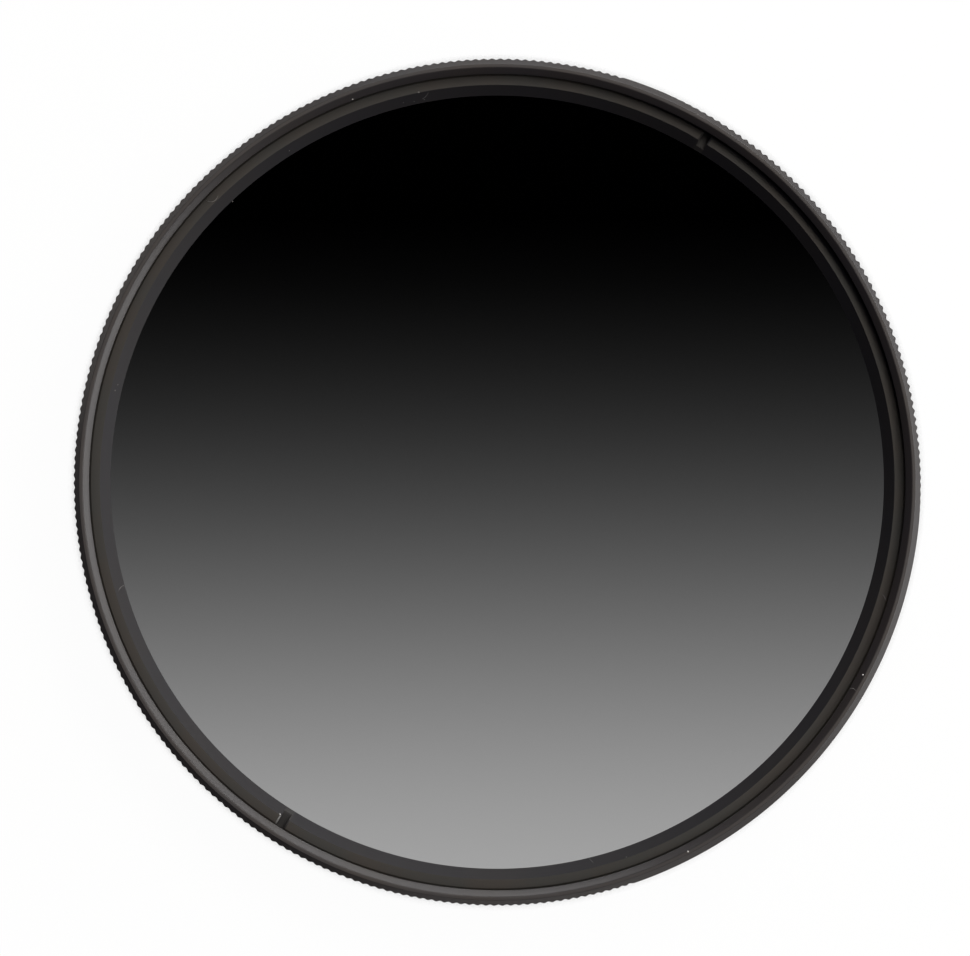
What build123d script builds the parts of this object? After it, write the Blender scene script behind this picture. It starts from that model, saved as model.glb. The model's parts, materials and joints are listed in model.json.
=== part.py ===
from build123d import *
import math
import os

# A graduated screw-in lens filter in a turning mount. All sizes are in millimetres.
# The optical axis is +Z, from the lens towards the scene. The origin is on that axis, in the
# plane of the rear end of the male thread, on which the filter lies. +Y is the dark side of the glass.

# Filter thread, the same on the lens side and on the scene side
THREAD_DIAMETER = 77.0
THREAD_PITCH = 0.75
THREAD_DEPTH_PER_PITCH = 0.5413

# Mount ring: male thread, seating flange and the neck that the front ring turns on
MALE_LENGTH = 2.4
THREAD_LEAD = 0.35
THREAD_WALL = 1.6
FLANGE_THICKNESS = 1.1
FLANGE_SETBACK = 0.3
NECK_INSET = 0.3
NECK_HEIGHT = 1.6

# Turning fit between the mount ring and the front ring
RUNNING_CLEARANCE = 0.05
TURNING_GAP = 0.1
CEILING_GAP = 0.15

# Snap ring: an open ring of square spring wire, in a groove of the neck and over a step in the skirt
WIRE_SIZE = 0.5
WIRE_CLEARANCE = 0.04
WIRE_HOLD = 0.22
SNAP_OPENING = 9.0
SNAP_OPENING_ANGLE = 150.0

# Front ring: rim, mouth of the front thread, glass shelf
RIM_WALL = 1.0
RIM_CHAMFER = 0.3
RIM_FLAT = 0.345
FRONT_THREAD_LENGTH = 1.45
THREAD_ROOT_CLEARANCE = 0.06
SHELF_THICKNESS = 0.6
SHELF_LEDGE = 2.15

# Grip knurl: straight V grooves in two stretches round the rim, with plain lands between them
KNURL_COUNT = 318
LONG_GRIP_DEPTH = 0.12
SHORT_GRIP_DEPTH = 0.18
GRIP_STEP = 0.04
LONG_GRIP_START = 72.6
LONG_GRIP_ARC = 217.1
LONG_LAND_ARC = 65.3
SHORT_LAND_ARC = 5.6
LONG_GRIP_FADE = 0.0
SHORT_GRIP_FADE = 13.0

# Glass disc
GLASS_THICKNESS = 1.5
GLASS_CLEARANCE = 0.2

# Retaining ring: screwed down the front thread onto the glass, with two spanner slots across its flat face
RING_HEIGHT = 1.2
RING_SINK = 0.12
RING_GAP = 0.17
RING_FLAT = 0.83
RING_BEVEL = 0.97
SLOT_WIDTH = 0.8
SLOT_DEPTH = 0.7
SLOT_ANGLE = 58.25
SLOT_OFFSET = 0.36

# Radii
thread_radius = THREAD_DIAMETER / 2
thread_minor_radius = thread_radius - THREAD_DEPTH_PER_PITCH * THREAD_PITCH
mount_bore_radius = thread_radius - THREAD_WALL
neck_radius = thread_radius - NECK_INSET
skirt_radius = neck_radius + RUNNING_CLEARANCE
rim_radius = thread_radius + RIM_WALL
chamfer_foot_radius = rim_radius - max(LONG_GRIP_DEPTH, SHORT_GRIP_DEPTH) - GRIP_STEP
rim_flat_radius = chamfer_foot_radius - RIM_CHAMFER
mouth_radius = rim_flat_radius - RIM_FLAT
flange_radius = rim_radius - FLANGE_SETBACK
wire_outer_radius = skirt_radius + WIRE_HOLD
wire_inner_radius = wire_outer_radius - WIRE_SIZE
neck_groove_radius = neck_radius - WIRE_SIZE - WIRE_CLEARANCE
wire_space_radius = wire_outer_radius + WIRE_CLEARANCE
thread_root_radius = thread_radius + THREAD_ROOT_CLEARANCE
ring_face_radius = thread_minor_radius - RING_GAP
ring_flat_radius = ring_face_radius - RING_FLAT
aperture_radius = ring_flat_radius - RING_BEVEL
glass_radius = thread_root_radius - GLASS_CLEARANCE
shelf_radius = glass_radius - SHELF_LEDGE

# Stretches of the grip, in degrees counter-clockwise from +X
long_grip_end = LONG_GRIP_START + LONG_GRIP_ARC
short_grip_start = long_grip_end + LONG_LAND_ARC - 360
short_grip_end = LONG_GRIP_START - SHORT_LAND_ARC

# Heights above the rear end of the male thread
flange_rear = MALE_LENGTH
flange_front = flange_rear + FLANGE_THICKNESS
neck_front = flange_front + NECK_HEIGHT
skirt_rear = flange_front + TURNING_GAP
shelf_rear = neck_front + CEILING_GAP
glass_rear = shelf_rear + SHELF_THICKNESS
glass_front = glass_rear + GLASS_THICKNESS
ring_front = glass_front + RING_HEIGHT
ring_shoulder = ring_front - (thread_radius - ring_face_radius)
front_thread_rear = ring_front + RING_SINK
mouth_rear = front_thread_rear + FRONT_THREAD_LENGTH
rim_front = mouth_rear + mouth_radius - thread_minor_radius
grip_front = rim_front - RIM_CHAMFER
wire_rear = (skirt_rear + neck_front - WIRE_SIZE) / 2
wire_front = wire_rear + WIRE_SIZE
groove_rear = wire_rear - WIRE_CLEARANCE
groove_front = wire_front + WIRE_CLEARANCE


def turned(*section):
    """Turned piece: a closed outline of (radius, height) points, revolved about the optical axis."""
    outline = Polyline(*section, close=True)
    return revolve(Plane.XZ * make_face(outline), Axis.Z)


def on_circle(radius, angle):
    """Point at an angle in degrees, counter-clockwise from +X, on a circle about the optical axis."""
    return Vector(radius, 0).rotate(Axis.Z, angle)


def knurled(start, end, depth, fade):
    """Points along one stretch of the grip: tooth crests on the rim's radius, with a groove root between them."""
    pitch = 360 / KNURL_COUNT
    points = [on_circle(rim_radius, start)]
    for tooth in range(int((end - start) / pitch)):
        root_angle = start + (tooth + 0.5) * pitch
        to_end = min(root_angle - start, end - root_angle)
        share = min(1, to_end / fade) if fade else 1
        points.append(on_circle(rim_radius - share * depth, root_angle))
        points.append(on_circle(rim_radius, root_angle + pitch / 2))
    return Polyline(*points)


def grip_outline():
    """Outline of the rim across the axis: two knurled stretches, joined by the plain lands."""
    short_grip = knurled(short_grip_start, short_grip_end, SHORT_GRIP_DEPTH, SHORT_GRIP_FADE)
    long_grip = knurled(LONG_GRIP_START, long_grip_end, LONG_GRIP_DEPTH, LONG_GRIP_FADE)
    short_land = RadiusArc(short_grip @ 1, long_grip @ 0, -rim_radius)
    long_land = RadiusArc(long_grip @ 1, short_grip @ 0, -rim_radius)
    return make_face(short_grip + short_land + long_grip + long_land)


def mount_ring():
    """Ring that screws into the lens: male thread, seating flange and grooved neck."""
    return turned(
        (mount_bore_radius, 0),
        (thread_radius - THREAD_LEAD, 0),
        (thread_radius, THREAD_LEAD),
        (thread_radius, flange_rear),
        (flange_radius, flange_rear),
        (flange_radius, flange_front),
        (neck_radius, flange_front),
        (neck_radius, groove_rear),
        (neck_groove_radius, groove_rear),
        (neck_groove_radius, groove_front),
        (neck_radius, groove_front),
        (neck_radius, neck_front),
        (mount_bore_radius, neck_front),
    )


def front_ring():
    """Turning ring: skirt over the neck, glass shelf, front thread and knurled rim.

    The front thread is a bore at its crests. Behind it, round the retaining ring, it is a bore at its roots.
    """
    blank_radius = rim_radius + GRIP_STEP
    turned_blank = turned(
        (skirt_radius, skirt_rear),
        (blank_radius, skirt_rear),
        (blank_radius, grip_front),
        (chamfer_foot_radius, grip_front),
        (rim_flat_radius, rim_front),
        (mouth_radius, rim_front),
        (thread_minor_radius, mouth_rear),
        (thread_minor_radius, front_thread_rear),
        (thread_root_radius, front_thread_rear),
        (thread_root_radius, glass_rear),
        (shelf_radius, glass_rear),
        (shelf_radius, shelf_rear),
        (wire_space_radius, shelf_rear),
        (wire_space_radius, groove_rear),
        (skirt_radius, groove_rear),
    )
    grip = Pos(0, 0, skirt_rear) * extrude(grip_outline(), rim_front - skirt_rear)
    return turned_blank & grip


def filter_glass():
    """Flat disc, on the shelf of the front ring."""
    disc = extrude(Circle(glass_radius), GLASS_THICKNESS)
    return Pos(0, 0, glass_rear) * disc


def retaining_ring():
    """Ring that holds the glass down, bevelled towards the glass, with a spanner slot on each side."""
    ring = turned(
        (aperture_radius, glass_front),
        (thread_radius, glass_front),
        (thread_radius, ring_shoulder),
        (ring_face_radius, ring_front),
        (ring_flat_radius, ring_front),
    )
    slot_bar = Box(2 * rim_radius, SLOT_WIDTH, SLOT_DEPTH, align=(Align.CENTER, Align.CENTER, Align.MAX))
    slots = Rot(0, 0, SLOT_ANGLE) * Pos(0, SLOT_OFFSET, ring_front) * slot_bar
    return ring - slots


def snap_ring():
    """Open ring of spring wire that keeps the front ring on the neck and lets it turn."""
    opening = math.degrees(SNAP_OPENING / wire_outer_radius)
    section = Pos(wire_inner_radius, wire_rear) * Rectangle(WIRE_SIZE, WIRE_SIZE, align=Align.MIN)
    wire = revolve(Plane.XZ * section, Axis.Z, revolution_arc=360 - opening)
    return Rot(0, 0, SNAP_OPENING_ANGLE + opening / 2) * wire


pieces = {
    "mount_ring": mount_ring(),
    "front_ring": front_ring(),
    "filter_glass": filter_glass(),
    "retaining_ring": retaining_ring(),
    "snap_ring": snap_ring(),
}

os.makedirs("parts", exist_ok=True)
for name, piece in pieces.items():
    export_step(piece, f"parts/{name}.step")
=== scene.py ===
"""Dresses a graduated screw-in lens filter for the camera.

The turned rings get their threads, eased edges and knurl, the glass its shade and the black metal its finish.
Lengths are in metres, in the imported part's frame: +Z is the optical axis, +Y the dark side of the glass.
"""
import json
import math

import bmesh
import bpy
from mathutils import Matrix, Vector


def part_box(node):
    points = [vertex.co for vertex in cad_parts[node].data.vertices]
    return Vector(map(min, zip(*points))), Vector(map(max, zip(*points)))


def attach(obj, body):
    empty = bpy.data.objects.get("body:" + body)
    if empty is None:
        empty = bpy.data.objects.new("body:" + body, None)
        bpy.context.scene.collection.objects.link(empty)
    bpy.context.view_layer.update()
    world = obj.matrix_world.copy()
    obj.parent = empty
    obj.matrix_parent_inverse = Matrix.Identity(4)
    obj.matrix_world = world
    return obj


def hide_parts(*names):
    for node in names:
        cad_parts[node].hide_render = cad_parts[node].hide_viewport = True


MM = 0.001

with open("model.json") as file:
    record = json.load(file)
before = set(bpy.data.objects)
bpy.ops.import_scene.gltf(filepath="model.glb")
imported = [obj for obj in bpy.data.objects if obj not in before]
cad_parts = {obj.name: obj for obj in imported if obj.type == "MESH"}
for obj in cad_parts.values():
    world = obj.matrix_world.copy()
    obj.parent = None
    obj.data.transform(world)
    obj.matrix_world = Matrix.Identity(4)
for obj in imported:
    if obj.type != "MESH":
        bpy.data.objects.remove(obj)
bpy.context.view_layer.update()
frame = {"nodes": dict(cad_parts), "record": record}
mounts = {mount["name"]: mount for mount in frame["record"]["mounts"]}


def heights(node):
    """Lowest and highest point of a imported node."""
    low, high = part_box(node)
    return low.z, high.z


def outside_radius(node):
    """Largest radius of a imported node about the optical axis."""
    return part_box(node)[1].x


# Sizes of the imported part
thread_radius = mounts["male_thread"]["dims"]["r_mm"] * MM
crest_radius = mounts["front_thread"]["dims"]["r_mm"] * MM
front_thread_middle = mounts["front_thread"]["pos_m"][2]
front_thread_half = mounts["front_thread"]["dims"]["length_mm"] * MM / 2
thread_rear = front_thread_middle - front_thread_half
mouth_rear = front_thread_middle + front_thread_half
mount_rear, neck_front = heights("mount_ring")
skirt_rear, rim_front = heights("front_ring")
glass_rear, glass_front = heights("filter_glass")
ring_front = heights("retaining_ring")[1]
wire_rear, wire_front = heights("snap_ring")
rim_radius = outside_radius("front_ring")
flange_radius = outside_radius("mount_ring")
glass_radius = outside_radius("filter_glass")

# Filter thread: flats and fade are shares of the pitch, rows are points along a pitch
THREAD_PITCH = 0.75 * MM
THREAD_ROWS = 16
THREAD_FADE = 0.2
CREST_FLAT = 0.16
ROOT_FLAT = 0.12
MALE_DEPTH = 0.42 * MM
MALE_RELIEF = 0.35 * MM
THREAD_LEAD = 0.35 * MM
FEMALE_DEPTH = thread_radius - crest_radius
ROOT_CLEARANCE = 0.06 * MM

# Mount ring
THREAD_WALL = 1.6 * MM
FLANGE_REAR = 2.4 * MM
FLANGE_THICKNESS = 1.1 * MM
NECK_INSET = 0.3 * MM
NECK_GROOVE_DEPTH = 0.54 * MM
WIRE_CLEARANCE = 0.04 * MM

# Front ring
RIM_BEVEL = 0.52 * MM
RIM_FLAT = 0.345 * MM
SKIRT_CHAMFER = 0.15 * MM
RUNNING_CLEARANCE = 0.05 * MM
SKIRT_STEP = 0.26 * MM
SHELF_THICKNESS = 0.6 * MM
SHELF_LEDGE = 2.15 * MM

# Grip knurl: two stretches, in degrees counter-clockwise from +X
KNURL_COUNT = 318
SHORT_GRIP = (-5.0, 67.0)
LONG_GRIP = (72.6, 289.7)
SHORT_GRIP_DEPTH = 0.18 * MM
LONG_GRIP_DEPTH = 0.12 * MM
SHORT_GRIP_FADE = 13.0
LONG_GRIP_FADE = 0.0

# Retaining ring: the room is how far from a slot's middle the plain columns stop, in slot widths
RING_GAP = 0.17 * MM
RING_FLAT = 0.83 * MM
RING_BEVEL = 0.97 * MM
SLOT_WIDTH = 0.8 * MM
SLOT_DEPTH = 0.7 * MM
SLOT_DRAFT = 0.01 * MM
SLOT_EASE = 0.14 * MM
SLOT_ROOM = 1.1
SLOT_ANGLE = 58.25
SLOT_OFFSET = 0.36 * MM

# Eased edges, and the seams on flat faces beside them
EDGE_EASE = 0.035 * MM
RIM_EASE = 0.012 * MM
LIP_EASE = 0.07 * MM
RING_EASE = 0.012 * MM
GLASS_EASE = 0.15 * MM
EDGE_SEAM = 0.07 * MM
RIM_SEAM = 0.024 * MM
LIP_SEAM = 0.175 * MM
GLASS_SEAM = 0.5 * MM
CORNER_SHARE = 0.4

# Mesh fineness: columns of a tooth are shares of its pitch, and the plain inside keeps the sparse ones
TOOTH_COLUMNS = (0, 0.12, 0.25, 0.38, 0.5, 0.62, 0.75, 0.88)
TOOTH_SPARSE = (0, 0.5)
LAND_STEP = 0.4
BEVEL_ROWS = 10
PLAIN_COLUMNS = 480
CREASE = math.radians(32)
BROAD_FACES_RULE = 100

# Radii and heights that follow
rim_flat_radius = rim_radius - RIM_BEVEL
mouth_radius = rim_flat_radius - RIM_FLAT
root_radius = thread_radius + ROOT_CLEARANCE
shelf_radius = glass_radius - SHELF_LEDGE
shelf_rear = glass_rear - SHELF_THICKNESS
neck_radius = thread_radius - NECK_INSET
neck_groove_radius = neck_radius - NECK_GROOVE_DEPTH
skirt_radius = neck_radius + RUNNING_CLEARANCE
wire_space_radius = skirt_radius + SKIRT_STEP
mount_bore_radius = thread_radius - THREAD_WALL
flange_front = FLANGE_REAR + FLANGE_THICKNESS
male_thread_end = FLANGE_REAR - MALE_RELIEF
groove_rear = wire_rear - WIRE_CLEARANCE
groove_front = wire_front + WIRE_CLEARANCE
ring_face_radius = crest_radius - RING_GAP
ring_flat_radius = ring_face_radius - RING_FLAT
aperture_radius = ring_flat_radius - RING_BEVEL
ring_shoulder = ring_front - (thread_radius - ring_face_radius)


def polar(radius, height, angle):
    """Point at an angle in radians about the optical axis."""
    return (radius * math.cos(angle), radius * math.sin(angle), height)


def turns(count):
    """Angles of evenly spaced columns, in radians."""
    return [2 * math.pi * column / count for column in range(count)]


def between(start, end, count):
    """Points of a profile that divide the way from start to end."""
    return [tuple(Vector(start).lerp(Vector(end), step / count)) for step in range(1, count)]


def eased(profile, closed=True, ease=EDGE_EASE):
    """The profile with each corner cut back and rounded off."""
    corners = [Vector(point) for point in profile]
    rounded = []
    for number, corner in enumerate(corners):
        if not closed and number in (0, len(corners) - 1):
            rounded.append(tuple(corner))
            continue
        before = corners[number - 1] - corner
        after = corners[(number + 1) % len(corners)] - corner
        cut = min(ease, CORNER_SHARE * before.length, CORNER_SHARE * after.length)
        start = corner + before.normalized() * cut
        end = corner + after.normalized() * cut
        middle = (start + 2 * corner + end) / 4
        rounded += [tuple(start), tuple(middle), tuple(end)]
    return rounded


class Skin:
    """Points and faces of one piece, built up from rings of points."""

    def __init__(self):
        self.points = []
        self.faces = []
        self.finishes = []

    def ring(self, points):
        """Adds a ring of points and gives their numbers."""
        first = len(self.points)
        self.points += points
        return list(range(first, len(self.points)))

    def face(self, corners, finish=0):
        """Adds one face."""
        self.faces.append(corners)
        self.finishes.append(finish)

    def band(self, ring, next_ring, finish=0):
        """Four-sided faces between two rings with as many points, in one finish or one for each column."""
        finishes = [finish] * len(ring) if isinstance(finish, int) else finish
        for here, chosen in enumerate(finishes):
            there = (here + 1) % len(ring)
            self.face((ring[here], ring[there], next_ring[there], next_ring[here]), chosen)

    def bands(self, rings, closed=False, finish=0):
        """Bands between rings that follow each other, and from last to first on a closed section."""
        for ring, next_ring in zip(rings, rings[1:]):
            self.band(ring, next_ring, finish)
        if closed:
            self.band(rings[-1], rings[0], finish)

    def gather(self, dense, sparse, kept, finish=0):
        """Flat faces between a dense ring and a sparse one that has only the kept columns."""
        for here in range(len(kept)):
            there = (here + 1) % len(kept)
            last = kept[there] if there else len(dense)
            edge = [dense[column % len(dense)] for column in range(kept[here], last + 1)]
            self.face([sparse[here], *edge, sparse[there]], finish)

    def piece(self, name, materials):
        """The finished object, smooth but for its creases."""
        mesh = bpy.data.meshes.new(name)
        mesh.from_pydata(self.points, [], self.faces)
        for material in materials:
            mesh.materials.append(material)
        mesh.polygons.foreach_set("material_index", self.finishes)
        shell = bmesh.new()
        shell.from_mesh(mesh)
        bmesh.ops.recalc_face_normals(shell, faces=shell.faces)
        shell.to_mesh(mesh)
        shell.free()
        mesh.shade_smooth()
        mesh.set_sharp_from_angle(angle=CREASE)
        made = bpy.data.objects.new(name, mesh)
        bpy.context.scene.collection.objects.link(made)
        shading = made.modifiers.new("even shading of broad faces", "WEIGHTED_NORMAL")
        shading.keep_sharp = True
        shading.weight = BROAD_FACES_RULE
        return made


def turned(skin, profile, columns, point=polar):
    """Rings of a turned profile, each point placed by its radius, height and column."""
    return [
        skin.ring([point(radius, height, column) for column in columns])
        for radius, height in profile
    ]


def thread_groove(angle, height, start, end):
    """Share of the thread's depth: 0 on a crest, 1 at a root, fading in and out at the thread's ends."""
    along = (height / THREAD_PITCH - angle / (2 * math.pi)) % 1
    flank = (1 - CREST_FLAT - abs(2 * along - 1)) / (1 - CREST_FLAT - ROOT_FLAT)
    fade = min(height - start, end - height) / (THREAD_FADE * THREAD_PITCH)
    return max(0, min(1, flank)) * max(0, min(1, fade))


def thread_rows(radius, start, end):
    """Profile points along a thread, close enough together for its flanks."""
    count = math.ceil(abs(end - start) / THREAD_PITCH * THREAD_ROWS)
    return between((radius, start), (radius, end), count)


# Front ring

# Finishes, in the order of the ring's materials
USUAL, LIT_CREST = range(2)


def grip_columns():
    """Columns of the rim as (angle, largest radius), and which of them the plain inside keeps."""
    columns = []
    kept = []
    pitch = 360 / KNURL_COUNT

    def add(degrees, depth, keep):
        if keep:
            kept.append(len(columns))
        columns.append((math.radians(degrees), rim_radius - depth))

    def add_teeth(grip, depth, fade):
        start, end = grip
        count = int((end - start) / pitch)
        for tooth in range(count):
            for place in TOOTH_COLUMNS:
                degrees = start + (tooth + place) * pitch
                share = min(1, min(degrees - start, end - degrees) / fade) if fade else 1
                valley = (1 - math.cos(2 * math.pi * place)) / 2
                add(degrees, depth * share * valley, place in TOOTH_SPARSE)
        return start + count * pitch

    def add_land(start, end):
        count = int((end - start) / LAND_STEP)
        for step in range(count):
            add(start + (end - start) * step / count, 0, True)

    short_end = add_teeth(SHORT_GRIP, SHORT_GRIP_DEPTH, SHORT_GRIP_FADE)
    add_land(short_end, LONG_GRIP[0])
    long_end = add_teeth(LONG_GRIP, LONG_GRIP_DEPTH, LONG_GRIP_FADE)
    add_land(long_end, SHORT_GRIP[0] + 360)
    return columns, kept


def on_grip(radius, height, column):
    """Point of the rim, cut back by the knurl."""
    angle, limit = column
    return polar(min(radius, limit), height, angle)


def in_mouth(radius, height, angle):
    """Point of the front ring's inside, with the front thread cut into its bore."""
    if thread_rear < height < mouth_rear:
        radius += FEMALE_DEPTH * thread_groove(angle, height, thread_rear, mouth_rear)
    return polar(radius, height, angle)


def rim_outside():
    """Profile of the front ring's outside, from the skirt's rear end up to the flat of the rim."""
    skirt_seam_radius = (skirt_radius + rim_radius - SHORT_GRIP_DEPTH) / 2
    bevel_rear = rim_front - RIM_BEVEL
    bevel = between((rim_radius, bevel_rear), (rim_flat_radius, rim_front), BEVEL_ROWS)
    side = [
        (skirt_seam_radius, skirt_rear),
        (rim_radius - SKIRT_CHAMFER, skirt_rear),
        (rim_radius, skirt_rear + SKIRT_CHAMFER),
        (rim_radius, bevel_rear),
        bevel[0],
    ]
    top = [
        bevel[-1],
        (rim_flat_radius, rim_front),
        (rim_flat_radius - RIM_SEAM, rim_front),
    ]
    return eased(side, closed=False) + bevel[1:-1] + eased(top, closed=False, ease=RIM_EASE)


def rim_inside():
    """Profile of the front ring's inside, from the flat of the rim down to the skirt's rear end."""
    mouth = [
        (mouth_radius + LIP_SEAM, rim_front),
        (mouth_radius, rim_front),
        (crest_radius, mouth_rear),
    ]
    bore = [
        (crest_radius, thread_rear),
        (root_radius, thread_rear),
        (root_radius, glass_rear),
        (shelf_radius, glass_rear),
        (shelf_radius, shelf_rear),
        (wire_space_radius, shelf_rear),
        (wire_space_radius, groove_rear),
        (skirt_radius, groove_rear),
        (skirt_radius, skirt_rear),
        (skirt_radius + EDGE_SEAM, skirt_rear),
    ]
    thread = thread_rows(crest_radius, mouth_rear, thread_rear)
    return eased(mouth, closed=False, ease=LIP_EASE) + thread + eased(bore, closed=False)


def make_front_ring(materials):
    """The ring in two finishes: the usual black, and a lighter black on the crest, a painted highlight for
    the light that falls there.
    """
    skin = Skin()
    columns, kept = grip_columns()
    angles = [columns[column][0] for column in kept]
    outer_rings = turned(skin, rim_outside(), columns, on_grip)
    inner_rings = turned(skin, rim_inside(), angles, in_mouth)
    skin.bands(outer_rings, finish=USUAL)
    # The crest's flat and lip take the lighter black: painted highlight.
    skin.gather(outer_rings[-1], inner_rings[0], kept, finish=LIT_CREST)
    skin.bands(inner_rings[:2], finish=LIT_CREST)
    skin.bands(inner_rings[1:], finish=USUAL)
    skin.gather(outer_rings[0], inner_rings[-1], kept, finish=USUAL)
    ring = skin.piece("front_ring_turned", materials)
    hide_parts("front_ring")
    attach(ring, "turning_front")


# Mount ring

def on_male_thread(radius, height, angle):
    """Point of the mount ring, with the male thread cut into it."""
    if mount_rear < height < male_thread_end:
        groove = thread_groove(angle, height, mount_rear - THREAD_PITCH, male_thread_end)
        radius = min(radius, thread_radius - MALE_DEPTH * groove)
    return polar(radius, height, angle)


def make_mount_ring(material):
    """Male thread with its lead and relief, seating flange and grooved neck."""
    skin = Skin()
    relief_radius = thread_radius - MALE_DEPTH
    lead_start = (thread_radius - THREAD_LEAD, mount_rear)
    lead_end = (thread_radius, mount_rear + THREAD_LEAD)
    lead = [lead_start] + between(lead_start, lead_end, THREAD_ROWS // 2) + [lead_end]
    flange = [
        (thread_radius, male_thread_end),
        (relief_radius, male_thread_end),
        (relief_radius, FLANGE_REAR),
        (flange_radius, FLANGE_REAR),
        (flange_radius, flange_front),
        (neck_radius, flange_front),
        (neck_radius, groove_rear),
        (neck_groove_radius, groove_rear),
        (neck_groove_radius, groove_front),
        (neck_radius, groove_front),
        (neck_radius, neck_front),
        (mount_bore_radius, neck_front),
        (mount_bore_radius, mount_rear),
        (mount_bore_radius + EDGE_SEAM, mount_rear),
    ]
    thread = thread_rows(thread_radius, lead_end[1], male_thread_end)
    profile = lead + thread + eased(flange, closed=False)
    skin.bands(turned(skin, profile, turns(PLAIN_COLUMNS), on_male_thread), closed=True)
    ring = skin.piece("mount_ring_turned", [material])
    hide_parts("mount_ring")
    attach(ring, "mount")


# Retaining ring

# Finishes, in the order of the ring's materials
FACE, BEVEL, WORN_LIT_EDGE, SHADED_SLOT_INSIDE = range(4)


def slotted_columns():
    """Columns of the retaining ring as (angle, sideways offset, depth of the slot there)."""
    half = SLOT_WIDTH / 2
    walls = [(half + SLOT_EASE, 0), (half, SLOT_EASE), (half - SLOT_DRAFT, SLOT_DEPTH)]
    across = [(-offset, depth) for offset, depth in walls]
    across += [(0, SLOT_DEPTH)]
    across += reversed(walls)
    first_slot = math.radians(SLOT_ANGLE)
    slots = [(first_slot, SLOT_OFFSET), (first_slot + math.pi, -SLOT_OFFSET)]
    columns = [(slot, shift + offset, depth) for slot, shift in slots for offset, depth in across]
    clear = SLOT_ROOM * SLOT_WIDTH / ring_face_radius
    places = [slot + shift / ring_face_radius for slot, shift in slots]
    for angle in turns(PLAIN_COLUMNS):
        if all(abs(math.remainder(angle - place, 2 * math.pi)) > clear for place in places):
            columns.append((angle, 0, 0))
    return sorted(columns, key=lambda column: (column[0] + column[1] / ring_face_radius) % (2 * math.pi))


def on_slotted_ring(radius, height, column):
    """Point of the retaining ring, no higher than the floor of a slot that it lies in."""
    angle, offset, depth = column
    return polar(radius, min(height, ring_front - depth), angle + math.asin(offset / radius))


def slot_finishes(columns, usual, edge):
    """Finish of the faces after each column: the usual one, or those of a slot's edge and inside."""
    finishes = []
    for column, following in zip(columns, columns[1:] + columns[:1]):
        depth = column[2]
        next_depth = following[2]
        if depth == next_depth == 0:
            finishes.append(usual)
        else:
            # The inside of a slot takes the darker black: painted shade.
            finishes.append(edge if depth == 0 else SHADED_SLOT_INSIDE)
    return finishes


def make_retaining_ring(materials):
    """The ring in four finishes: flat face, bevel, slot edges, worn and painted lighter as a highlight, and
    the inside of the slots, painted darker as shade.
    """
    skin = Skin()
    bevel_top = (ring_flat_radius, ring_front)
    bevel_foot = (aperture_radius, glass_front)
    bevel = between(bevel_top, bevel_foot, BEVEL_ROWS)
    body = eased([
        bevel_foot,
        (thread_radius, glass_front),
        (thread_radius, ring_shoulder),
        (ring_face_radius, ring_front),
        bevel_top,
    ], closed=False, ease=RING_EASE)
    columns = slotted_columns()
    body_rings = turned(skin, body, columns, on_slotted_ring)
    bevel_rings = turned(skin, bevel, columns, on_slotted_ring)
    # Slot edges take the worn black, which is also painted lighter as a highlight.
    skin.bands(body_rings, finish=slot_finishes(columns, FACE, edge=WORN_LIT_EDGE))
    bevel_rings = [body_rings[-1], *bevel_rings, body_rings[0]]
    skin.bands(bevel_rings, finish=slot_finishes(columns, BEVEL, edge=BEVEL))
    ring = skin.piece("retaining_ring_turned", materials)
    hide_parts("retaining_ring")
    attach(ring, "turning_front")


# Glass

def make_glass(material):
    """Flat disc with a ground edge."""
    skin = Skin()
    edge = eased([
        (glass_radius - GLASS_SEAM, glass_rear),
        (glass_radius, glass_rear),
        (glass_radius, glass_front),
        (glass_radius - GLASS_SEAM, glass_front),
    ], closed=False, ease=GLASS_EASE)
    rings = turned(skin, edge, turns(PLAIN_COLUMNS))
    skin.bands(rings)
    skin.face(rings[0])
    skin.face(rings[-1])
    glass = skin.piece("filter_glass_ground", [material])
    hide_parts("filter_glass")
    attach(glass, "turning_front")
    return glass


# Settled lint

# Finishes, in the order of the lint's materials
DULL, PALE = range(2)

# Fibres: middle as (radius in mm, angle in degrees), length in mm, heading in degrees,
# bow as a share of the length and thickness in mm
FIBRES = (
    ((37.41, 135.2), 1.19, 23, 0.26, 0.075),
    ((36.68, 100.5), 0.85, 47, 0.10, 0.045),
    ((36.50, 195.7), 0.75, 47, -0.12, 0.045),
    ((36.34, 283.9), 0.68, -46, 0.05, 0.03),
    ((38.36, 329.8), 0.55, -18, -0.22, 0.085),
    ((37.72, 343.4), 0.62, -63, -0.08, 0.085),
)
FIBRE_STEPS = 12
FIBRE_SIDES = 5
FIBRE_TAPER = 0.6

# Specks: place as (radius in mm, angle in degrees) and size in mm
PALE_SPECKS = (
    ((38.53, 332.2), 0.19),
    ((38.73, 297.3), 0.17),
    ((38.16, 110.7), 0.13),
    ((37.04, 236.8), 0.14),
)
DULL_SPECKS = (
    ((36.05, 133.3), 0.12),
    ((36.60, 165.6), 0.13),
    ((36.72, 166.5), 0.13),
    ((36.55, 122.1), 0.11),
    ((36.53, 103.9), 0.09),
    ((36.41, 102.3), 0.09),
    ((36.40, 100.8), 0.10),
    ((37.02, 289.0), 0.10),
    ((38.52, 154.9), 0.10),
)
SPECK_SIDES = 7
SPECK_TOP = 0.6
SPECK_HEIGHT = 0.5
SPECK_TWIST = 0.4


def surface_height(radius):
    """Height of the face that looks forward at a radius."""
    if radius > rim_flat_radius:
        return rim_front - (radius - rim_flat_radius)
    if radius > mouth_radius:
        return rim_front
    if radius > crest_radius:
        return rim_front - (mouth_radius - radius)
    if radius > ring_flat_radius:
        return ring_front
    if radius > aperture_radius:
        return ring_front - (ring_flat_radius - radius) / RING_BEVEL * (ring_front - glass_front)
    return glass_front


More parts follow.
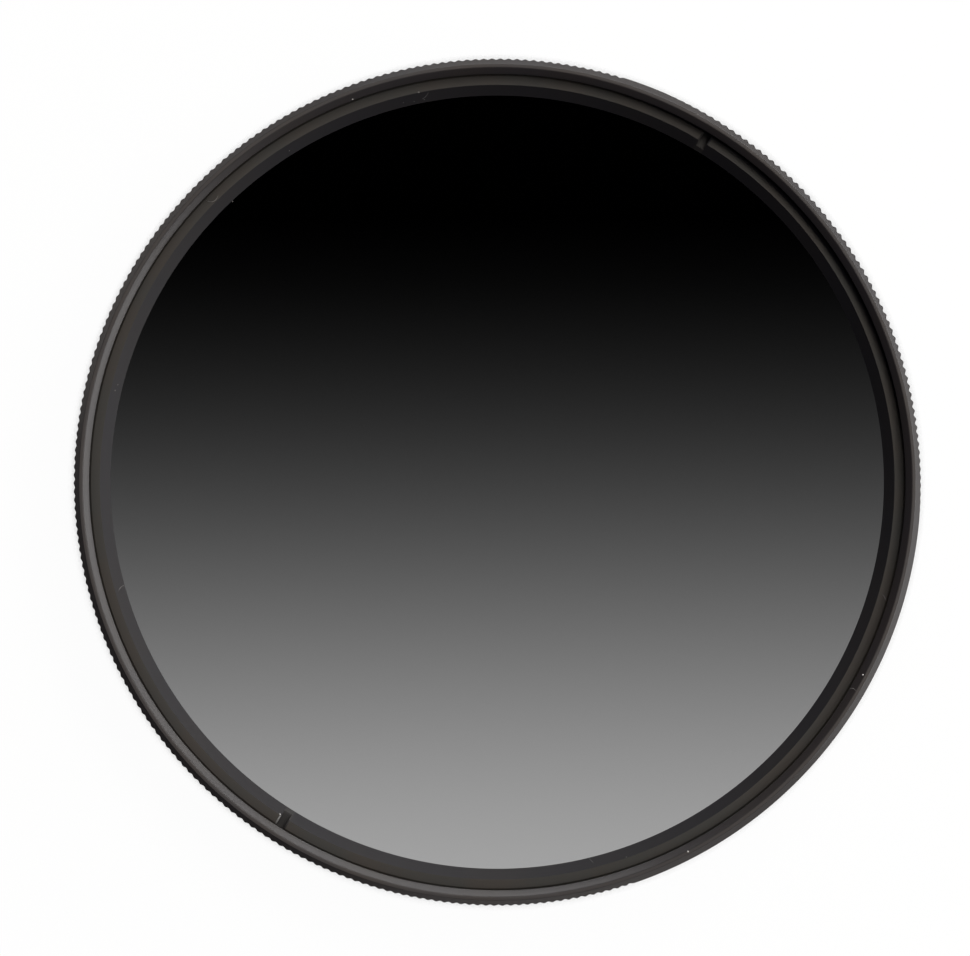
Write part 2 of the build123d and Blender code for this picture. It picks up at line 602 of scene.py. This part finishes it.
def add_fibre(skin, place, length, heading, bow, thickness):
    """A bowed fibre that follows the faces under it and thins out at its ends."""
    radius, degrees = place
    half = thickness * MM / 2
    middle = Vector(polar(radius * MM, 0, math.radians(degrees)))
    along = Vector(polar(1, 0, math.radians(heading)))
    across = Vector((-along.y, along.x, 0))
    upward = Vector((0, 0, 1))
    rings = []
    for step in range(FIBRE_STEPS + 1):
        share = 2 * step / FIBRE_STEPS - 1
        bend = bow * (share * share - 0.5)
        point = middle + length * MM * (share / 2 * along + bend * across)
        point.z = surface_height(point.to_2d().length) + half
        reach = half * (1 - FIBRE_TAPER * share ** 4)
        rings.append(skin.ring([
            point + reach * (math.cos(turn) * across + math.sin(turn) * upward)
            for turn in turns(FIBRE_SIDES)
        ]))
    skin.bands(rings, finish=DULL)
    skin.face(rings[0], DULL)
    skin.face(rings[-1], DULL)


def add_speck(skin, place, size, finish):
    """A low crumb, narrower at its top."""
    radius, degrees = place
    half = size * MM / 2
    foot = Vector(polar(radius * MM, surface_height(radius * MM), math.radians(degrees)))
    low = [foot + half * Vector(polar(1, 0, turn)) for turn in turns(SPECK_SIDES)]
    high = [
        foot + half * Vector(polar(SPECK_TOP, SPECK_HEIGHT, turn + SPECK_TWIST))
        for turn in turns(SPECK_SIDES)
    ]
    rings = [skin.ring(low), skin.ring(high)]
    skin.bands(rings, finish=finish)
    skin.face(rings[0], finish)
    skin.face(rings[1], finish)


def make_lint(materials):
    """Fibres and specks that lie on the front faces, dull or pale."""
    skin = Skin()
    for fibre in FIBRES:
        add_fibre(skin, *fibre)
    for place, size in DULL_SPECKS:
        add_speck(skin, place, size, DULL)
    for place, size in PALE_SPECKS:
        add_speck(skin, place, size, PALE)
    lint = skin.piece("settled_lint", materials)
    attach(lint, "turning_front")


# Node helpers

# Sockets of a Mix node for colours, which has others of the same names
MIX_SHARE = 0
MIX_FIRST = 6
MIX_SECOND = 7
MIX_RESULT = 2


def node(tree, kind, inputs=None, **settings):
    """A node with its settings, and its inputs linked or set."""
    made = tree.nodes.new(kind)
    for name, value in settings.items():
        setattr(made, name, value)
    for key, value in (inputs or {}).items():
        if isinstance(value, bpy.types.NodeSocket):
            tree.links.new(value, made.inputs[key])
        else:
            made.inputs[key].default_value = value
    return made


def sum_of(tree, operation, *values, clamp=False):
    """Output of a Math node."""
    made = node(tree, "ShaderNodeMath", dict(enumerate(values)), operation=operation, use_clamp=clamp)
    return made.outputs[0]


def ramp(tree, value, start, end):
    """Output that rises smoothly from 0 at start to 1 at end."""
    inputs = {"Value": value, "From Min": start, "From Max": end}
    return node(tree, "ShaderNodeMapRange", inputs, interpolation_type="SMOOTHSTEP").outputs[0]


def spread(tree, value, low, high):
    """Output that runs from low at 0 to high at 1."""
    return node(tree, "ShaderNodeMapRange", {"Value": value, "To Min": low, "To Max": high}).outputs[0]


def mixed_colour(tree, share, first, second):
    """Output that goes from the first colour to the second."""
    inputs = {MIX_SHARE: share, MIX_FIRST: first, MIX_SECOND: second}
    return node(tree, "ShaderNodeMix", inputs, data_type="RGBA").outputs[MIX_RESULT]


def parts_of(tree, vector):
    """The three outputs of a vector's parts."""
    return node(tree, "ShaderNodeSeparateXYZ", {0: vector}).outputs


def own_place(tree):
    """Output of the object's own coordinates."""
    return node(tree, "ShaderNodeTexCoord").outputs["Object"]


def new_group(name, inputs, outputs):
    """An empty node group with named sockets; gives the group and its two end nodes."""
    group = bpy.data.node_groups.new(name, "ShaderNodeTree")
    for socket, kind, value in inputs:
        made = group.interface.new_socket(socket, in_out="INPUT", socket_type=kind)
        made.default_value = value
    for socket, kind in outputs:
        group.interface.new_socket(socket, in_out="OUTPUT", socket_type=kind)
    return group, group.nodes.new("NodeGroupInput"), group.nodes.new("NodeGroupOutput")


def place_group(tree, group, inputs):
    """First output of a node group that is placed with its own values."""
    return node(tree, "ShaderNodeGroup", inputs, node_tree=group).outputs[0]


# Effects that the materials share

def turning_marks_group():
    """Fine marks that run round the axis, as a lathe tool leaves them."""
    group, given, result = new_group(
        "turning marks",
        [("Marks per metre", "NodeSocketFloat", 4000.0), ("Length of marks", "NodeSocketFloat", 3.0)],
        [("Height", "NodeSocketFloat")],
    )
    closeness, length = given.outputs[:2]
    x, y, height = parts_of(group, own_place(group))
    flat = node(group, "ShaderNodeCombineXYZ", {0: x, 1: y}).outputs[0]
    radius = node(group, "ShaderNodeVectorMath", {0: flat}, operation="LENGTH").outputs["Value"]
    direction = node(group, "ShaderNodeVectorMath", {0: flat}, operation="NORMALIZE").outputs[0]
    inputs = {0: direction, "Scale": length}
    along = node(group, "ShaderNodeVectorMath", inputs, operation="SCALE").outputs[0]
    along_x, along_y = parts_of(group, along)[:2]
    across = sum_of(group, "MULTIPLY", radius, closeness)
    place = node(group, "ShaderNodeCombineXYZ", {0: across, 1: along_x, 2: along_y}).outputs[0]
    upward = sum_of(group, "MULTIPLY", height, closeness)
    inputs = {"Vector": place, "W": upward, "Scale": 1.0, "Detail": 3.0, "Roughness": 0.6}
    marks = node(group, "ShaderNodeTexNoise", inputs, noise_dimensions="4D")
    group.links.new(marks.outputs[0], result.inputs[0])
    return group


def dust_group():
    """Sparse settled specks on faces that look up."""
    smallest = 0.05
    size_range = 0.14
    steepest = 0.3
    nearly_level = 0.8
    group, given, result = new_group(
        "settled dust",
        [("Specks per metre", "NodeSocketFloat", 1500.0), ("Share", "NodeSocketFloat", 0.1)],
        [("Mask", "NodeSocketFloat")],
    )
    closeness, wanted = given.outputs[:2]
    cells = node(group, "ShaderNodeTexVoronoi", {"Vector": own_place(group), "Scale": closeness})
    chance = node(group, "ShaderNodeSeparateColor", {0: cells.outputs["Color"]}).outputs
    chosen = sum_of(group, "LESS_THAN", chance[0], wanted)
    size = sum_of(group, "MULTIPLY_ADD", chance[1], size_range, smallest)
    speck = sum_of(group, "LESS_THAN", cells.outputs["Distance"], size)
    facing = node(group, "ShaderNodeNewGeometry").outputs["Normal"]
    upward = ramp(group, parts_of(group, facing)[2], steepest, nearly_level)
    mask = sum_of(group, "MULTIPLY", sum_of(group, "MULTIPLY", chosen, speck), upward)
    group.links.new(mask, result.inputs[0])
    return group


def tone_group():
    """Uneven dye of black anodising: drifts between a warm and a cool black."""
    cool_end = 0.35
    warm_end = 0.65
    group, given, result = new_group(
        "dye tone",
        [
            ("Warm", "NodeSocketColor", (0.04, 0.037, 0.034, 1)),
            ("Cool", "NodeSocketColor", (0.036, 0.036, 0.038, 1)),
            ("Patches per metre", "NodeSocketFloat", 180.0),
        ],
        [("Color", "NodeSocketColor")],
    )
    warm, cool, closeness = given.outputs[:3]
    inputs = {"Vector": own_place(group), "Scale": closeness, "Detail": 2.0}
    patches = node(group, "ShaderNodeTexNoise", inputs).outputs[0]
    share = ramp(group, patches, cool_end, warm_end)
    group.links.new(mixed_colour(group, share, cool, warm), result.inputs[0])
    return group


turning_marks = turning_marks_group()
settled_dust = dust_group()
dye_tone = tone_group()


# Materials

DUST_COLOUR = (0.22, 0.21, 0.2, 1)
FEW_SPECKS = 0.005
NO_SPECKS = 0.0
SHEEN_RANGE = 0.08


def new_material(name):
    """A material with its node tree and its shader."""
    material = bpy.data.materials.new(name)
    material.use_nodes = True
    tree = material.node_tree
    return material, tree, tree.nodes["Principled BSDF"]


def anodised(name, warm, cool, roughness, gloss, dust):
    """Black anodised aluminium with its dye, turning marks and settled dust."""
    material, tree, surface = new_material(name)
    tone = place_group(tree, dye_tone, {"Warm": (*warm, 1), "Cool": (*cool, 1)})
    marks = place_group(tree, turning_marks, {})
    specks = place_group(tree, settled_dust, {"Share": dust})
    colour = mixed_colour(tree, specks, tone, DUST_COLOUR)
    sheen = spread(tree, marks, roughness - SHEEN_RANGE, roughness + SHEEN_RANGE)
    inputs = {"Height": marks, "Strength": 0.25, "Distance": 0.01 * MM}
    relief = node(tree, "ShaderNodeBump", inputs).outputs[0]
    tree.links.new(colour, surface.inputs["Base Color"])
    tree.links.new(sheen, surface.inputs["Roughness"])
    tree.links.new(relief, surface.inputs["Normal"])
    surface.inputs["Specular IOR Level"].default_value = gloss
    return material


def shaded_glass(name):
    """Coated glass whose grey runs from black on the +Y side to light on the -Y side.

    The shade is even to the eye, so its share is turned into light by the usual curve of a screen.
    """
    dark_side = 24.7 * MM
    light_side = -36.0 * MM
    lightest = 0.632
    smooth_share = 0.55
    curve_offset = 0.055
    curve_power = 2.4
    material, tree, surface = new_material(name)
    across = parts_of(tree, own_place(tree))[1]
    inputs = {"Value": across, "From Min": dark_side, "From Max": light_side}
    straight = node(tree, "ShaderNodeMapRange", inputs).outputs[0]
    smooth = ramp(tree, across, dark_side, light_side)
    straight_part = sum_of(tree, "MULTIPLY", straight, 1 - smooth_share)
    shade = sum_of(tree, "MULTIPLY_ADD", smooth, smooth_share, straight_part)
    shown = sum_of(tree, "MULTIPLY", shade, lightest)
    curve_foot = curve_offset / (1 + curve_offset)
    lifted = sum_of(tree, "MULTIPLY_ADD", shown, 1 / (1 + curve_offset), curve_foot)
    level = sum_of(tree, "POWER", lifted, curve_power)
    level = sum_of(tree, "SUBTRACT", level, curve_foot ** curve_power)
    grey = node(tree, "ShaderNodeCombineColor", {0: level, 1: level, 2: level}).outputs[0]
    tree.links.new(grey, surface.inputs["Base Color"])
    surface.inputs["Transmission Weight"].default_value = 1.0
    surface.inputs["Roughness"].default_value = 0.0
    surface.inputs["IOR"].default_value = 1.2
    return material


def drawn_wire(name):
    """Bright drawn steel wire with marks along it."""
    smoothest = 0.22
    roughest = 0.45
    material, tree, surface = new_material(name)
    marks = place_group(tree, turning_marks, {"Marks per metre": 20000.0})
    tone = place_group(tree, dye_tone, {"Warm": (0.5, 0.47, 0.43, 1), "Cool": (0.42, 0.43, 0.45, 1)})
    tree.links.new(tone, surface.inputs["Base Color"])
    tree.links.new(spread(tree, marks, smoothest, roughest), surface.inputs["Roughness"])
    surface.inputs["Metallic"].default_value = 1.0
    return material


def matt_lint(name, warm, cool):
    """Matt fibre or speck, uneven in colour along its length."""
    material, tree, surface = new_material(name)
    inputs = {"Warm": (*warm, 1), "Cool": (*cool, 1), "Patches per metre": 3000.0}
    tree.links.new(place_group(tree, dye_tone, inputs), surface.inputs["Base Color"])
    surface.inputs["Roughness"].default_value = 0.9
    return material


rim_black = anodised(
    "rim black",
    warm=(0.0302, 0.0260, 0.0252),
    cool=(0.0288, 0.0256, 0.0270),
    roughness=0.40,
    gloss=0.5,
    dust=FEW_SPECKS,
)
# Lighter black for the rim's crest: a painted highlight that stands in for the light falling on the top flat.
crest_lit_black = anodised(
    "rim crest black",
    warm=(0.058, 0.0505, 0.0475),
    cool=(0.0545, 0.0496, 0.0495),
    roughness=0.40,
    gloss=0.5,
    dust=FEW_SPECKS,
)
mount_black = anodised(
    "mount black",
    warm=(0.028, 0.026, 0.024),
    cool=(0.027, 0.026, 0.027),
    roughness=0.42,
    gloss=0.5,
    dust=NO_SPECKS,
)
retainer_black = anodised(
    "retainer black",
    warm=(0.0645, 0.0575, 0.051),
    cool=(0.0585, 0.057, 0.053),
    roughness=0.6,
    gloss=0.3,
    dust=FEW_SPECKS,
)
bevel_black = anodised(
    "retainer bevel black",
    warm=(0.0252, 0.0236, 0.0252),
    cool=(0.0237, 0.0228, 0.0256),
    roughness=0.5,
    gloss=0.25,
    dust=FEW_SPECKS,
)
# Slot edges: worn, and painted lighter than the wear alone as a highlight.
worn_edge_and_highlight = anodised(
    "worn edge",
    warm=(0.098, 0.095, 0.091),
    cool=(0.0875, 0.0875, 0.0875),
    roughness=0.4,
    gloss=0.5,
    dust=NO_SPECKS,
)
# Slot black: darker than the face, painted shade in the recess of the slots.
slot_shade_black = anodised(
    "slot black",
    warm=(0.034, 0.0315, 0.030),
    cool=(0.032, 0.031, 0.0315),
    roughness=0.6,
    gloss=0.3,
    dust=NO_SPECKS,
)
dull_lint = matt_lint("dull lint", warm=(0.21, 0.20, 0.19), cool=(0.19, 0.185, 0.19))
pale_lint = matt_lint("pale lint", warm=(0.77, 0.75, 0.72), cool=(0.73, 0.73, 0.72))

make_front_ring([rim_black, crest_lit_black])
make_mount_ring(mount_black)
make_retaining_ring([retainer_black, bevel_black, worn_edge_and_highlight, slot_shade_black])
filter_glass = make_glass(shaded_glass("graduated glass"))
make_lint([dull_lint, pale_lint])
snap_ring = frame["nodes"]["snap_ring"]
snap_ring.data.materials.clear()
snap_ring.data.materials.append(drawn_wire("spring wire"))


# Studio

WHITE = (1, 1, 1, 1)


def floor_white_and_painted_shadow(tree, path):
    """Level of the floor's white: lower where metal mirrors it, and darker to the camera near the object, a
    painted contact shadow from ambient occlusion.
    """
    white_level = 1.015
    mirrored_level = 0.12
    painted_shadow_reach = 2.0 * MM
    painted_shadow_gain = 5.0
    painted_shadow_limit = 0.6
    mirrored = sum_of(tree, "SUBTRACT", path["Is Glossy Ray"], path["Is Transmission Ray"], clamp=True)
    level = sum_of(tree, "MULTIPLY_ADD", mirrored, mirrored_level - white_level, white_level)
    # Painted contact shadow: the white is darkened to the camera where ambient occlusion finds the object
    # close by.
    nearby = node(tree, "ShaderNodeAmbientOcclusion", {"Distance": painted_shadow_reach}, samples=4)
    covered = sum_of(tree, "SUBTRACT", 1.0, nearby.outputs["AO"])
    painted_shadow = sum_of(tree, "MULTIPLY", covered, painted_shadow_gain)
    painted_shadow = sum_of(tree, "MINIMUM", painted_shadow, painted_shadow_limit)
    painted_shadow = sum_of(tree, "MULTIPLY", painted_shadow, path["Is Camera Ray"])
    return sum_of(tree, "MULTIPLY", level, sum_of(tree, "SUBTRACT", 1.0, painted_shadow))


def make_floor():
    """Pale floor with the object's shadow and a painted contact shadow near it, white to the camera and
    through the glass, open from below.
    """
    size = 2.0
    depth = 0.05 * MM
    shadow_share = 0.04
    matt_white = (0.85, 0.85, 0.85, 1)
    bpy.ops.mesh.primitive_plane_add(size=size, location=(0, 0, -depth))
    floor = bpy.context.object
    floor.name = "floor"
    material, tree, surface = new_material("pale floor")
    surface.inputs["Base Color"].default_value = matt_white
    surface.inputs["Roughness"].default_value = 1.0
    surface.inputs["Specular IOR Level"].default_value = 0.0
    path = node(tree, "ShaderNodeLightPath").outputs
    seen = sum_of(tree, "MULTIPLY", path["Is Camera Ray"], 1 - shadow_share)
    seen = sum_of(tree, "ADD", path["Is Glossy Ray"], seen)
    seen = sum_of(tree, "ADD", path["Is Transmission Ray"], seen, clamp=True)
    inputs = {"Color": WHITE, "Strength": floor_white_and_painted_shadow(tree, path)}
    white = node(tree, "ShaderNodeEmission", inputs)
    mixed = node(tree, "ShaderNodeMixShader", {0: seen, 1: surface.outputs[0], 2: white.outputs[0]})
    below = node(tree, "ShaderNodeNewGeometry").outputs["Backfacing"]
    opening = node(tree, "ShaderNodeBsdfTransparent")
    shown = node(tree, "ShaderNodeMixShader", {0: below, 1: mixed.outputs[0], 2: opening.outputs[0]})
    tree.links.new(shown.outputs[0], tree.nodes["Material Output"].inputs["Surface"])
    floor.data.materials.append(material)


def make_world():
    """Dim room, darkest overhead, and white behind the object for the camera and through glass."""
    room_colour = (1.0, 0.95, 1.3, 1)
    room_level = 0.045
    overhead_level = 0.01
    overhead_start = 0.7
    overhead_end = 0.95
    world = bpy.data.worlds.new("studio")
    bpy.context.scene.world = world
    world.use_nodes = True
    tree = world.node_tree
    direction = node(tree, "ShaderNodeTexCoord").outputs["Generated"]
    overhead = ramp(tree, parts_of(tree, direction)[2], overhead_start, overhead_end)
    level = spread(tree, overhead, room_level, overhead_level)
    room = node(tree, "ShaderNodeBackground", {"Color": room_colour, "Strength": level})
    white = node(tree, "ShaderNodeBackground", {"Color": WHITE, "Strength": 1.0})
    path = node(tree, "ShaderNodeLightPath").outputs
    seen = sum_of(tree, "ADD", path["Is Camera Ray"], path["Is Transmission Ray"], clamp=True)
    mixed = node(tree, "ShaderNodeMixShader", {0: seen, 1: room.outputs[0], 2: white.outputs[0]})
    tree.links.new(mixed.outputs[0], tree.nodes["World Output"].inputs["Surface"])


def make_lamp(name, azimuth, elevation, distance, size, power, colour):
    """Soft lamp panel, aimed at the filter."""
    light = bpy.data.lights.new(name, "AREA")
    light.shape = "RECTANGLE"
    light.size, light.size_y = size
    light.energy = power
    light.color = colour
    lamp = bpy.data.objects.new(name, light)
    lamp.visible_camera = False
    rise = math.radians(elevation)
    away = Vector(polar(math.cos(rise), math.sin(rise), math.radians(azimuth)))
    lamp.location = away * distance
    lamp.rotation_mode = "QUATERNION"
    lamp.rotation_quaternion = away.to_track_quat("Z", "Y")
    bpy.context.scene.collection.objects.link(lamp)
    return lamp


def make_panel(name, size, colour, azimuth, elevation, power):
    """Large lamp panel, well away from the filter."""
    distance = 0.7
    return make_lamp(name, azimuth, elevation, distance, size, power, colour)


def make_card(name, azimuth, power):
    """Long low strip that lights the knurl, as a white card beside the filter does."""
    elevation = 1
    distance = 0.3
    size = (0.3, 0.01)
    colour = (1.0, 0.95, 0.9)
    return make_lamp(name, azimuth, elevation, distance, size, power, colour)


def keep_off(piece, lamps):
    """Leaves a piece out of the lamps' light, so that their panels don't show in it as mirror images."""
    left_out = bpy.data.collections.new("left out of the lamps' light")
    left_out.objects.link(piece)
    left_out.collection_objects[0].light_linking.link_state = "EXCLUDE"
    for lamp in lamps:
        lamp.light_linking.receiver_collection = left_out


def make_camera():
    """Camera straight above the filter, framed as in the photograph."""
    distance = 1.2
    frame_width = 90.39 * MM
    frame_middle = (-1.144 * MM, 0.388 * MM)
    sensor = 36.0
    camera = bpy.data.cameras.new("camera")
    camera.sensor_width = sensor
    camera.lens = sensor * distance / frame_width
    camera.clip_end = 10.0
    placed = bpy.data.objects.new("camera", camera)
    placed.location = (*frame_middle, rim_front + distance)
    bpy.context.scene.collection.objects.link(placed)
    bpy.context.scene.camera = placed


# Lamp panels: width and height in metres, and colours of the light
HIGH_PANEL = (0.8, 0.25)
LOW_PANEL = (1.05, 0.18)
WARM_LIGHT = (1.0, 0.95, 0.89)
PALE_LIGHT = (1.0, 0.988, 0.975)

make_floor()
make_world()
lamps = [
    make_panel("high panel", HIGH_PANEL, WARM_LIGHT, azimuth=38, elevation=64, power=2.95),
    make_panel("low panel on the right", LOW_PANEL, PALE_LIGHT, azimuth=-3, elevation=11, power=3.95),
    make_panel("low panel behind", LOW_PANEL, PALE_LIGHT, azimuth=72, elevation=14, power=3.7),
    make_card("card on the left", azimuth=146, power=0.108),
    make_card("card in front", azimuth=283, power=0.1),
]
keep_off(filter_glass, lamps)
make_camera()
bpy.context.scene.view_settings.view_transform = "Standard"
